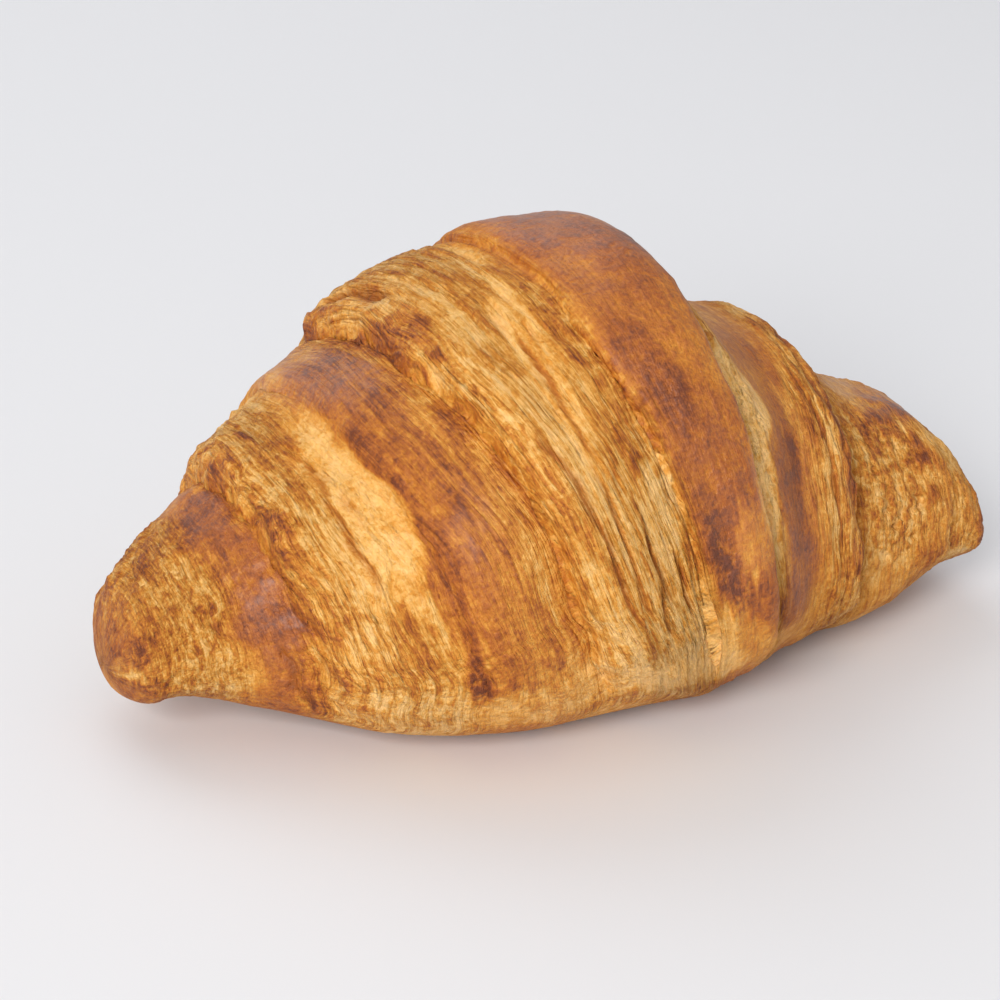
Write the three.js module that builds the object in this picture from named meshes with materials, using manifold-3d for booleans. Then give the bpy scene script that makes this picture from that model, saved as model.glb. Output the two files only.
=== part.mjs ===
// A butter croissant, baked in one piece, in millimetres and +Z up.
//
// It lies along X on its flat underside, with the bend of its crescent towards
// -Y and its two tips at the ends of X. A rolled triangle of dough makes a body
// of overlapping wraps: each wrap's cut edge stands proud of the wrap beside it
// on the side of the nearer tip, and the middle wrap lies over all the others.
//
// The skin is one closed loft. Its rings follow the lean of the wraps, so the
// step at every cut edge runs along a ring. The loft reaches just below Z = 0,
// and a box trims it there to the flat face that it rests on.

import * as THREE from 'three';
import { mergeVertices } from 'three/addons/utils/BufferGeometryUtils.js';
import Module from 'manifold-3d';

const LENGTH = 150;
const HALF_LENGTH = LENGTH / 2;

// The size of the body at chosen places along X: the crest's height, half the
// width, the centreline's Y and the height of the underside before trimming.
const STATIONS = [
  { x: -75, crest: 20.5, halfWidth: 12, centreY: 1, underside: 5.5 },
  { x: -66, crest: 29.5, halfWidth: 15.5, centreY: 1, underside: 7.5 },
  { x: -54, crest: 42, halfWidth: 23, centreY: 0, underside: 4 },
  { x: -40, crest: 52.5, halfWidth: 36, centreY: -2, underside: 0.5 },
  { x: -22, crest: 68.5, halfWidth: 40.5, centreY: -5, underside: -2.5 },
  { x: -4, crest: 73, halfWidth: 40.5, centreY: -7, underside: -2 },
  { x: 8, crest: 71, halfWidth: 40, centreY: -7, underside: -2.5 },
  { x: 22, crest: 57.5, halfWidth: 35.5, centreY: -4, underside: -2 },
  { x: 36, crest: 49.5, halfWidth: 29.5, centreY: -1, underside: -1.5 },
  { x: 50, crest: 39.5, halfWidth: 25.5, centreY: 0, underside: -0.5 },
  { x: 66, crest: 31.5, halfWidth: 18.5, centreY: -1.5, underside: 5.5 },
  { x: 75, crest: 18.5, halfWidth: 12.5, centreY: -4, underside: 7 },
];

// Each wrap's cut edge at the crest: how far it stands proud, how deep the valley
// beside it is, how quickly it rounds over, and how far both reach along X.
const CUT_EDGES = [
  { x: -55.5, towardsTip: -1, lift: 1, dip: 3.2, roundOver: 3, reachIn: 5, reachOut: 3.5 },
  { x: -42.5, towardsTip: -1, lift: 0.9, dip: 0.3, roundOver: 2.5, reachIn: 5, reachOut: 2 },
  { x: -31.2, towardsTip: -1, lift: 1.8, dip: 3, roundOver: 3, reachIn: 9, reachOut: 3 },
  { x: -12, towardsTip: -1, lift: 1.2, dip: 0.7, roundOver: 3, reachIn: 8, reachOut: 3 },
  { x: 7, towardsTip: 1, lift: 1.8, dip: 3, roundOver: 3, reachIn: 8, reachOut: 5 },
  { x: 39.2, towardsTip: 1, lift: 3, dip: 3.8, roundOver: 3, reachIn: 8, reachOut: 4 },
  { x: 64, towardsTip: 1, lift: 1, dip: 0.9, roundOver: 3, reachIn: 6, reachOut: 3 },
];

// How far the front of each ring leans towards +X of its crest, in millimetres.
const LEAN = [
  { x: -75, shift: 0 },
  { x: -61, shift: 3.5 },
  { x: -42, shift: 10.5 },
  { x: -33, shift: 13.5 },
  { x: -27, shift: 17 },
  { x: -15, shift: 15 },
  { x: -5, shift: 11 },
  { x: 8, shift: 7.5 },
  { x: 24, shift: 2.5 },
  { x: 45, shift: 0 },
  { x: 75, shift: 0 },
];

// The share of that lean round the body, x in degrees: the crest is 0, the front 90.
const HALF_TURN = 180;
const LEAN_ROUND = [
  { x: -90, share: 0 },
  { x: -20, share: -0.05 },
  { x: 0, share: 0 },
  { x: 15, share: 0.07 },
  { x: 30, share: 0.18 },
  { x: 45, share: 0.35 },
  { x: 60, share: 0.57 },
  { x: 90, share: 1 },
  { x: 120, share: 1.4 },
  { x: 138, share: 1.6 },
  { x: 160, share: 1 },
  { x: 180, share: 0 },
];

// The section's widest level, as a share of its height, and the powers of its
// sides, of its top and of its bottom: a circle's are 1 and a box's are near 0.
const WIDEST_AT = 0.42;
const SIDE_ROUNDNESS = 0.92;
const CREST_ROUNDNESS = 0.95;
const UNDERSIDE_ROUNDNESS = 1.05;

// The steps fade between these cosines of the turn, and ease back by this power.
const STEPS_START = -0.8;
const STEPS_FULL = -0.3;
const SWELL_POWER = 1.5;

const TIP_ROUNDING = 4;
const RINGS_ALONG_BODY = 70;
const RINGS_AT_TIP = 5;
const POINTS_AROUND = 44;
const TRIM_BOX_HEIGHT = 20;
const TRIM_BOX_MARGIN = 40;

const CRUST_COLOUR = 0xb4702c;
const CRUST_ROUGHNESS = 0.5;
const NODE_NAME = 'croissant';

/** The value of a smooth curve through the rows' values, at x. */
function curveAt(rows, key, x) {
  const last = rows.length - 1;
  let row = 0;
  while (row < last - 1 && rows[row + 1].x < x) {
    row += 1;
  }
  const slopeAt = (index) => {
    const before = rows[Math.max(index - 1, 0)];
    const after = rows[Math.min(index + 1, last)];
    return (after[key] - before[key]) / (after.x - before.x);
  };
  const from = rows[row];
  const to = rows[row + 1];
  const span = to.x - from.x;
  const t = THREE.MathUtils.clamp((x - from.x) / span, 0, 1);
  const rise = to[key] - from[key];
  const startBend = slopeAt(row) * span - rise;
  const endBend = rise - slopeAt(row + 1) * span;
  return from[key] + rise * t + t * (1 - t) * (startBend * (1 - t) + endBend * t);
}

/** How far one cut edge raises or lowers the skin at a place along X. */
function edgeStep(edge, x) {
  const inside = (edge.x - x) * edge.towardsTip;
  if (inside <= 0) {
    return -edge.dip * Math.exp(inside / edge.reachOut);
  }
  const quarter = Math.min(inside / edge.roundOver, 1);
  const rise = (edge.dip + edge.lift) * Math.sqrt(1 - (1 - quarter) ** 2);
  const pastRound = Math.max(inside - edge.roundOver, 0);
  return (rise - edge.dip) * Math.exp(-((pastRound / edge.reachIn) ** SWELL_POWER));
}

/** How much the steps show round the body: fully above, not at all on the underside. */
function stepsShow(upward) {
  return THREE.MathUtils.smoothstep(upward, STEPS_START, STEPS_FULL);
}

/** The lean round the body: 1 at the front, most low on it, and none behind the crest. */
function leanShare(turn) {
  const degrees = THREE.MathUtils.radToDeg(turn);
  return curveAt(LEAN_ROUND, 'share', degrees > HALF_TURN ? degrees - 2 * HALF_TURN : degrees);
}

/** How much of its section is left near a tip, where the body rounds to a close. */
function tipScale(x) {
  const fromTip = HALF_LENGTH - Math.abs(x);
  const t = THREE.MathUtils.clamp(fromTip / TIP_ROUNDING, 0, 1);
  return Math.sqrt(1 - (1 - t) ** 2);
}

/** The rings' places at the crest, closer together where the tips round over. */
function ringPlaces() {
  const places = [];
  for (let ring = 1; ring <= RINGS_AT_TIP; ring += 1) {
    const turn = (Math.PI / 2) * (ring / RINGS_AT_TIP);
    places.push(-HALF_LENGTH + TIP_ROUNDING * (1 - Math.cos(turn)));
  }
  const plainLength = LENGTH - 2 * TIP_ROUNDING;
  for (let ring = 1; ring < RINGS_ALONG_BODY; ring += 1) {
    places.push(-HALF_LENGTH + TIP_ROUNDING + plainLength * (ring / RINGS_ALONG_BODY));
  }
  for (let ring = RINGS_AT_TIP; ring >= 1; ring -= 1) {
    const turn = (Math.PI / 2) * (ring / RINGS_AT_TIP);
    places.push(HALF_LENGTH - TIP_ROUNDING * (1 - Math.cos(turn)));
  }
  return places;
}

/** A number raised to a power, keeping its sign. */
function signedPower(value, power) {
  return Math.sign(value) * Math.abs(value) ** power;
}

/** One point of the skin: turn is 0 at the crest and a quarter at the -Y front. */
function skinPoint(crestX, turn) {
  const front = Math.sin(turn);
  const upward = Math.cos(turn);
  const x = crestX + curveAt(LEAN, 'shift', crestX) * leanShare(turn);
  const scale = tipScale(crestX);
  const steps = CUT_EDGES.reduce((sum, edge) => sum + edgeStep(edge, crestX), 0);
  const proud = scale * stepsShow(upward) * steps;
  const crest = curveAt(STATIONS, 'crest', x);
  const underside = curveAt(STATIONS, 'underside', x);
  const widest = underside + WIDEST_AT * (crest - underside);
  const halfWidth = curveAt(STATIONS, 'halfWidth', x) * scale + proud;
  const above = ((crest - widest) * scale + proud) * signedPower(upward, CREST_ROUNDNESS);
  const below = (widest - underside) * scale * signedPower(upward, UNDERSIDE_ROUNDNESS);
  return [
    x,
    curveAt(STATIONS, 'centreY', x) - halfWidth * signedPower(front, SIDE_ROUNDNESS),
    widest + (upward > 0 ? above : below),
  ];
}

/** The point that closes a tip. */
function tipPoint(x) {
  const crest = curveAt(STATIONS, 'crest', x);
  const underside = curveAt(STATIONS, 'underside', x);
  return [x, curveAt(STATIONS, 'centreY', x), underside + WIDEST_AT * (crest - underside)];
}

/** The whole skin as one closed, untrimmed geometry with its faces pointing out. */
function skinGeometry() {
  const places = ringPlaces();
  const positions = [...tipPoint(-HALF_LENGTH)];
  for (const place of places) {
    for (let point = 0; point < POINTS_AROUND; point += 1) {
      positions.push(...skinPoint(place, (2 * Math.PI * point) / POINTS_AROUND));
    }
  }
  positions.push(...tipPoint(HALF_LENGTH));
  const lastTip = positions.length / 3 - 1;
  const lastRing = 1 + (places.length - 1) * POINTS_AROUND;
  const triangles = [];
  for (let point = 0; point < POINTS_AROUND; point += 1) {
    const next = (point + 1) % POINTS_AROUND;
    triangles.push(0, 1 + next, 1 + point);
    triangles.push(lastTip, lastRing + point, lastRing + next);
    for (let ring = 1; ring < lastRing; ring += POINTS_AROUND) {
      const near = ring + point;
      const nearNext = ring + next;
      triangles.push(near, nearNext, near + POINTS_AROUND);
      triangles.push(nearNext, nearNext + POINTS_AROUND, near + POINTS_AROUND);
    }
  }
  const geometry = new THREE.BufferGeometry();
  geometry.setAttribute('position', new THREE.Float32BufferAttribute(positions, 3));
  geometry.setIndex(triangles);
  return geometry;
}

/** A geometry as a manifold-3d solid. */
function toSolid(library, geometry) {
  const bare = geometry.clone();
  bare.deleteAttribute('normal');
  bare.deleteAttribute('uv');
  const merged = mergeVertices(bare);
  const mesh = new library.Mesh({
    numProp: 3,
    vertProperties: new Float32Array(merged.attributes.position.array),
    triVerts: new Uint32Array(merged.index.array),
  });
  return new library.Manifold(mesh);
}

/** A manifold-3d solid as a geometry. */
function toGeometry(solid) {
  const mesh = solid.getMesh();
  const geometry = new THREE.BufferGeometry();
  geometry.setAttribute('position', new THREE.BufferAttribute(new Float32Array(mesh.vertProperties), 3));
  geometry.setIndex(new THREE.BufferAttribute(new Uint32Array(mesh.triVerts), 1));
  return geometry;
}

/** The loft with everything under Z = 0 cut away, which leaves the flat base. */
function trimmedBody(library) {
  const across = LENGTH + TRIM_BOX_MARGIN;
  const box = new THREE.BoxGeometry(across, across, TRIM_BOX_HEIGHT);
  box.translate(0, 0, -TRIM_BOX_HEIGHT / 2);
  return toGeometry(toSolid(library, skinGeometry()).subtract(toSolid(library, box)));
}

/** Moves a geometry so that the middle of its box is over the origin. */
function centreOverOrigin(geometry) {
  geometry.computeBoundingBox();
  const middle = geometry.boundingBox.getCenter(new THREE.Vector3());
  geometry.translate(-middle.x, -middle.y, 0);
  geometry.computeVertexNormals();
  return geometry;
}

const library = await Module();
library.setup();

const crust = new THREE.MeshStandardMaterial({
  color: CRUST_COLOUR,
  roughness: CRUST_ROUGHNESS,
  metalness: 0,
});
const croissant = new THREE.Mesh(centreOverOrigin(trimmedBody(library)), crust);
croissant.name = NODE_NAME;

const model = new THREE.Group();
model.add(croissant);

export default model;
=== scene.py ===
"""The looks of a butter croissant, baked in one piece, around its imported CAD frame.

The croissant lies along X with the bend of its crescent towards -Y. A point of its
crust is named by two numbers. "lay" is the X, in millimetres, at which the point's
line of dough crosses the crest. "turn" is the angle round the body, 0 at the crest,
+90 degrees at the -Y front and -90 at the back. Lines of constant lay follow the wraps.
"""

from __future__ import annotations

import logging
import math
from dataclasses import dataclass, field
from enum import Enum

import bpy
import numpy as np
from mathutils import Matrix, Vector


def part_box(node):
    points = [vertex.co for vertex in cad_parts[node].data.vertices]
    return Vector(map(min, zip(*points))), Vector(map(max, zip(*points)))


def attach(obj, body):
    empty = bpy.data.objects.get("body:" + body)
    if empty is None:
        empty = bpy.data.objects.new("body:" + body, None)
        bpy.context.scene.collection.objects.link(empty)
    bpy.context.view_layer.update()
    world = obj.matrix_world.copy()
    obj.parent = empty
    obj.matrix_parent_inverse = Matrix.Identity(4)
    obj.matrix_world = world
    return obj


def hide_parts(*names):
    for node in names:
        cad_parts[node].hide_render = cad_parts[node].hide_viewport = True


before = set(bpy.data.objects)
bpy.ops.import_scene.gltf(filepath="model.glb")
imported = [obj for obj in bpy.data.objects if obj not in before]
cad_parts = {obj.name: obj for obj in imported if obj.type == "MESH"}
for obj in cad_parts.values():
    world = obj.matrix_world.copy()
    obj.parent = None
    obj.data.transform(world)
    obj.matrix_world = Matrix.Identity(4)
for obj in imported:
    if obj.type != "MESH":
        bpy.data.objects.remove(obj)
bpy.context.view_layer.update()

LOG = logging.getLogger("croissant")
FULL_TURN = 2.0 * math.pi
MM_PER_CM = 10.0
LATTICE_COLUMNS = 1024  # squares along X before the noise repeats
LATTICE_START = 500.0  # millimetres from the lattice's edge to the croissant's middle
PATCH_POWER = 2.4  # a patch's outline lies between an ellipse, at 2, and a rectangle

Socket = bpy.types.NodeSocket
Tree = bpy.types.NodeTree


# ---------------------------------------------------------------------------
# Helpers, and the curves and noise that every part of the crust uses
# ---------------------------------------------------------------------------


def put_in_scene(name: str, data: bpy.types.ID) -> bpy.types.Object:
    """A new object that shows the data, put in the scene."""
    made = bpy.data.objects.new(name, data)
    bpy.context.scene.collection.objects.link(made)
    return made


def clamp01(value: np.ndarray) -> np.ndarray:
    """The value held between 0 and 1."""
    return np.clip(value, 0.0, 1.0)


def smooth_step(low: float, high: float, value: np.ndarray) -> np.ndarray:
    """0 below low, 1 above high and a smooth S between: 3t^2 - 2t^3."""
    t = clamp01((value - low) / (high - low))
    return t * t * (3.0 - 2.0 * t)


def blend(start: np.ndarray, end: np.ndarray, share: np.ndarray) -> np.ndarray:
    """start where share is 0 and end where it is 1."""
    return start + (end - start) * share


def signed_power(value: np.ndarray, power: float) -> np.ndarray:
    """The value raised to a power, keeping its sign."""
    return np.sign(value) * np.abs(value) ** power


@dataclass(frozen=True)
class Curve:
    """A smooth curve through chosen (x, value) points."""

    points: tuple[tuple[float, float], ...]

    def at(self, x: np.ndarray) -> np.ndarray:
        """The curve's value at x.

        Between two points it is their straight line plus a cubic that gives each
        point the slope between its two neighbours.

        Args:
            x: places to read the curve at.

        Returns:
            The values, held at the first and last point beyond the ends.
        """
        known_x, known = np.array(self.points).T
        slope = np.empty_like(known)
        slope[1:-1] = (known[2:] - known[:-2]) / (known_x[2:] - known_x[:-2])
        slope[0] = (known[1] - known[0]) / (known_x[1] - known_x[0])
        slope[-1] = (known[-1] - known[-2]) / (known_x[-1] - known_x[-2])
        row = np.clip(np.searchsorted(known_x, x) - 1, 0, len(known) - 2)
        span = known_x[row + 1] - known_x[row]
        t = clamp01((x - known_x[row]) / span)
        rise = known[row + 1] - known[row]
        start_bend = slope[row] * span - rise
        end_bend = rise - slope[row + 1] * span
        return known[row] + rise * t + t * (1 - t) * (start_bend * (1 - t) + end_bend * t)


def spread(places: np.ndarray, density: np.ndarray, count: int) -> np.ndarray:
    """Picks count places from the line, closer together where the density is higher."""
    share = np.cumsum(density)
    share = (share - share[0]) / (share[-1] - share[0])
    return np.interp(np.linspace(0, 1, count), share, places)


@dataclass(frozen=True)
class DoughLattice:
    """Squares over (lay, turn) that close on themselves round the body."""

    seed: int
    per_mm: float
    around: int

    def squares(self, lay: np.ndarray, turn: np.ndarray) -> tuple[np.ndarray, ...]:
        """The square that holds each point.

        Args:
            lay: millimetres along the crest.
            turn: radians round the body.

        Returns:
            The square's column and row, and the point's place in it from 0 to 1.
        """
        along = (lay + LATTICE_START) * self.per_mm
        across = (turn / FULL_TURN % 1.0) * self.around
        column, row = np.floor(along).astype(int), np.floor(across).astype(int)
        return column, row, along - column, across - row


@dataclass(frozen=True)
class DoughNoise(DoughLattice):
    """Gradient noise over (lay, turn) that closes on itself round the body."""

    def at(self, lay: np.ndarray, turn: np.ndarray) -> np.ndarray:
        """Noise from about -1 to 1.

        Each lattice corner holds a random direction. The noise is the dot product
        of that direction with the way to the point, faded between the corners.

        Args:
            lay: millimetres along the crest.
            turn: radians round the body.

        Returns:
            The noise at every point.
        """
        size = (LATTICE_COLUMNS, self.around)
        angle = np.random.default_rng(self.seed).uniform(0, FULL_TURN, size)
        column, row, near_x, near_y = self.squares(lay, turn)
        fade_x = near_x**3 * (near_x * (near_x * 6 - 15) + 10)
        fade_y = near_y**3 * (near_y * (near_y * 6 - 15) + 10)

        def corner(step_x: int, step_y: int) -> np.ndarray:
            """The pull of one lattice corner."""
            way = angle[(column + step_x) % LATTICE_COLUMNS, (row + step_y) % self.around]
            return np.cos(way) * (near_x - step_x) + np.sin(way) * (near_y - step_y)

        low = blend(corner(0, 0), corner(1, 0), fade_x)
        high = blend(corner(0, 1), corner(1, 1), fade_x)
        return 1.5 * blend(low, high, fade_y)


@dataclass(frozen=True)
class DoughFlakes(DoughLattice):
    """Thin shards of dough: cells over (lay, turn) round randomly placed centres."""

    rim: float = 0.22

    def at(self, lay: np.ndarray, turn: np.ndarray) -> tuple[np.ndarray, np.ndarray, np.ndarray]:
        """The shard that covers each point.

        Every lattice square holds one centre, and a point belongs to the nearest.

        Args:
            lay: millimetres along the crest.
            turn: radians round the body.

        Returns:
            The shard's own random number from 0 to 1, how far the point lies from
            the shard's middle along X in cells, and how near its rim it is.
        """
        size = (3, LATTICE_COLUMNS, self.around)
        random = np.random.default_rng(self.seed).uniform(0, 1, size)
        column, row, near_x, near_y = self.squares(lay, turn)
        nearest, second = np.full(lay.shape, np.inf), np.full(lay.shape, np.inf)
        value, off_middle = np.zeros(lay.shape), np.zeros(lay.shape)
        for step_x in (-1, 0, 1):
            for step_y in (-1, 0, 1):
                own = random[:, (column + step_x) % LATTICE_COLUMNS, (row + step_y) % self.around]
                off_x = near_x - step_x - own[0]
                distance = np.hypot(off_x, near_y - step_y - own[1])
                closer = distance < nearest
                second = np.where(closer, nearest, np.minimum(second, distance))
                value = np.where(closer, own[2], value)
                off_middle = np.where(closer, off_x, off_middle)
                nearest = np.where(closer, distance, nearest)
        return value, off_middle, 1.0 - smooth_step(0.0, self.rim, second - nearest)


def layered(lay: np.ndarray, turn: np.ndarray,
            *noises: tuple[float, int, float, int]) -> np.ndarray:
    """A sum of noises, each given by its weight, seed, squares per mm and squares around."""
    return sum(weight * DoughNoise(*own).at(lay, turn) for weight, *own in noises)


# ---------------------------------------------------------------------------
# The form of the body
# ---------------------------------------------------------------------------


@dataclass(frozen=True)
class CutEdge:
    """A wrap's cut edge: the step down from it towards the nearer tip."""

    crest: float
    towards_tip: int
    lift: float
    dip: float
    round_over: float
    reach_in: float
    reach_out: float
    overhang: float

    def inside(self, lay: np.ndarray) -> np.ndarray:
        """Millimetres from the edge towards the middle of the croissant."""
        return (self.crest - lay) * self.towards_tip

    def step(self, lay: np.ndarray) -> np.ndarray:
        """How far the edge raises or lowers the skin.

        Outside the edge the skin sinks into a valley that fades away. Inside it
        rounds up over a quarter circle and then eases back to the plain body.
        """
        inside = self.inside(lay)
        valley = -self.dip * np.exp(np.minimum(inside, 0.0) / self.reach_out)
        quarter = clamp01(inside / self.round_over)
        rise = (self.dip + self.lift) * np.sqrt(1.0 - (1.0 - quarter) ** 2)
        past_round = np.maximum(inside - self.round_over, 0.0)
        ease = np.exp(-((past_round / self.reach_in) ** 1.5))
        return np.where(inside > 0.0, (rise - self.dip) * ease, valley)

    def lip(self, lay: np.ndarray) -> np.ndarray:
        """How far along X the lip hangs over, and the crevice under it draws back."""
        inside = self.inside(lay)
        over = np.exp(-(((inside - 1.1) / 1.2) ** 2))
        under = np.exp(-(((inside + 0.6) / 0.8) ** 2))
        return self.towards_tip * self.overhang * (over - 0.8 * under)

    def crevice(self, lay: np.ndarray) -> np.ndarray:
        """1 in the gap under the lip, fading out over a millimetre or two."""
        inside = self.inside(lay)
        return np.exp(-(((inside + 0.5) / 1.1) ** 2))


@dataclass(frozen=True)
class BodyForm:
    """The croissant's plain body with its stepped wraps, in millimetres."""

    half_length: float = 75.0
    tip_rounding: float = 4.0
    widest_at: float = 0.42
    side_roundness: float = 0.92
    crest_roundness: float = 0.95
    underside_roundness: float = 1.05
    crest: Curve = Curve(
        ((-75, 20.5), (-66, 29.5), (-54, 42), (-40, 52.5), (-22, 68.5), (-4, 73), (8, 71), (22, 57.5),
         (36, 49.5), (50, 39.5), (66, 31.5), (75, 18.5))
    )
    half_width: Curve = Curve(
        ((-75, 12), (-66, 15.5), (-54, 23), (-40, 36), (-22, 40.5), (0, 40.5), (14, 39), (30, 31.5),
         (50, 25.5), (66, 18.5), (75, 12.5))
    )
    centre_y: Curve = Curve(
        ((-75, 1), (-66, 1), (-54, 0), (-40, -2), (-22, -5), (0, -7), (14, -6), (30, -2), (50, 0),
         (66, -1.5), (75, -4))
    )
    underside: Curve = Curve(
        ((-75, 5.5), (-66, 7.5), (-54, 4), (-40, 0.5), (-22, -2.5), (0, -2), (14, -2.5), (30, -1.5),
         (50, -0.5), (66, 5.5), (75, 7))
    )
    lean: Curve = Curve(
        ((-75, 0), (-61, 3.5), (-42, 10.5), (-33, 13.5), (-27, 17), (-15, 15), (-5, 11), (8, 7.5),
         (24, 2.5), (45, 0), (75, 0))
    )
    lean_round: Curve = Curve(
        ((-90, 0), (-20, -0.05), (0, 0), (15, 0.07), (30, 0.18), (45, 0.35), (60, 0.57), (90, 1.0),
         (120, 1.4), (138, 1.6), (160, 1.0), (180, 0))
    )
    edges: tuple[CutEdge, ...] = (
        CutEdge(-55.5, -1, 1.0, 3.2, 3.0, 5, 3.5, 0.5),
        CutEdge(-42.5, -1, 0.9, 0.3, 2.5, 5, 2, 0.4),
        CutEdge(-31.2, -1, 1.8, 3.0, 3.0, 9, 3, 0.8),
        CutEdge(-12.0, -1, 1.2, 0.7, 3.0, 8, 3, 0.3),
        CutEdge(7.0, 1, 1.8, 3.0, 3.0, 8, 5, 1.6),
        CutEdge(39.2, 1, 3.0, 3.8, 3.0, 8, 4, 1.2),
        CutEdge(64.0, 1, 1.0, 0.9, 3.0, 6, 3, 0.3),
    )

    def from_tip(self, lay: np.ndarray) -> np.ndarray:
        """Millimetres from the nearer tip."""
        return self.half_length - np.abs(lay)

    def tip_scale(self, lay: np.ndarray) -> np.ndarray:
        """How much of its section is left near a tip, where it closes in a quarter circle."""
        t = clamp01(self.from_tip(lay) / self.tip_rounding)
        return np.sqrt(1.0 - (1.0 - t) ** 2)

    def steps_show(self, turn: np.ndarray) -> np.ndarray:
        """1 where the wraps' steps are full, fading to 0 on the flat underside."""
        return smooth_step(-0.8, -0.3, np.cos(turn))

    def place(self, lay: np.ndarray, turn: np.ndarray,
              ragged: np.ndarray | float = 0.0) -> np.ndarray:
        """The points of the body.

        The section is a superellipse whose widest level is set, with its own power
        above and below it. Its X leans towards +X at the front and hardly at the back.

        Args:
            lay: millimetres along the crest.
            turn: radians round the body.
            ragged: how far the wraps' cut edges are torn back, in millimetres.

        Returns:
            An array of (x, y, z) in millimetres, with one more axis than lay.
        """
        front, upward = np.sin(turn), np.cos(turn)
        x = lay + self.lean.at(lay) * self.lean_round.at(np.degrees(turn))
        scale, show = self.tip_scale(lay), self.steps_show(turn)
        proud = scale * show * sum(edge.step(lay + ragged) for edge in self.edges)
        crest, underside = self.crest.at(x), self.underside.at(x)
        widest = underside + self.widest_at * (crest - underside)
        half_width = self.half_width.at(x) * scale + proud
        above = ((crest - widest) * scale + proud) * signed_power(upward, self.crest_roundness)
        below = (widest - underside) * scale * signed_power(upward, self.underside_roundness)
        y = self.centre_y.at(x) - half_width * signed_power(front, self.side_roundness)
        z = widest + np.where(upward > 0.0, above, below)
        x = x + scale * show * sum(edge.lip(lay + ragged) for edge in self.edges)
        return np.stack([x, y, z], axis=-1)


# ---------------------------------------------------------------------------
# Where the crust is brown, pale, layered or glazed
# ---------------------------------------------------------------------------


class Tone(Enum):
    """What a patch changes: how the crust is baked, layered, stretched, glazed or open."""

    BAKE = "bake"
    LAYERS = "layers"
    STRETCH = "stretch"
    GLAZE = "glaze"
    PORES = "pores"


BAKE, LAYERS, STRETCH, GLAZE, PORES = Tone


@dataclass(frozen=True)
class Patch:
    """A soft-edged patch, longer round the body than along it, that pulls a tone to a value."""

    tone: Tone
    value: float
    lay: float
    turn: float
    half_lay: float
    half_turn: float
    slant: float = 0.0
    amount: float = 1.0
    softness: float = 0.35

    def mask(self, lay: np.ndarray, degrees: np.ndarray) -> np.ndarray:
        """The patch's amount inside a squarish ellipse, fading to 0 past its rim.

        Args:
            lay: millimetres along the crest.
            degrees: turn in degrees.

        Returns:
            The share of the patch at every point.
        """
        off_turn = (degrees - self.turn) / self.half_turn
        off_lay = (lay - self.lay - self.slant * off_turn) / self.half_lay
        reach = (np.abs(off_lay) ** PATCH_POWER + np.abs(off_turn) ** PATCH_POWER) ** (1 / PATCH_POWER)
        return self.amount * (1.0 - smooth_step(1.0 - self.softness, 1.0 + self.softness, reach))


@dataclass(frozen=True)
class Crack:
    """A narrow split that runs round the body."""

    lay: float
    start: float
    end: float
    slant: float
    depth: float
    half_width: float

    def mask(self, lay: np.ndarray, degrees: np.ndarray) -> np.ndarray:
        """1 along the split's middle, fading at its sides and its two ends."""
        t = (degrees - self.start) / (self.end - self.start)
        off = (lay - self.lay - self.slant * (t - 0.5)) / self.half_width
        ends = smooth_step(0.0, 0.2, t) * (1.0 - smooth_step(0.8, 1.0, t))
        return np.exp(-(off**2)) * ends


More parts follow.
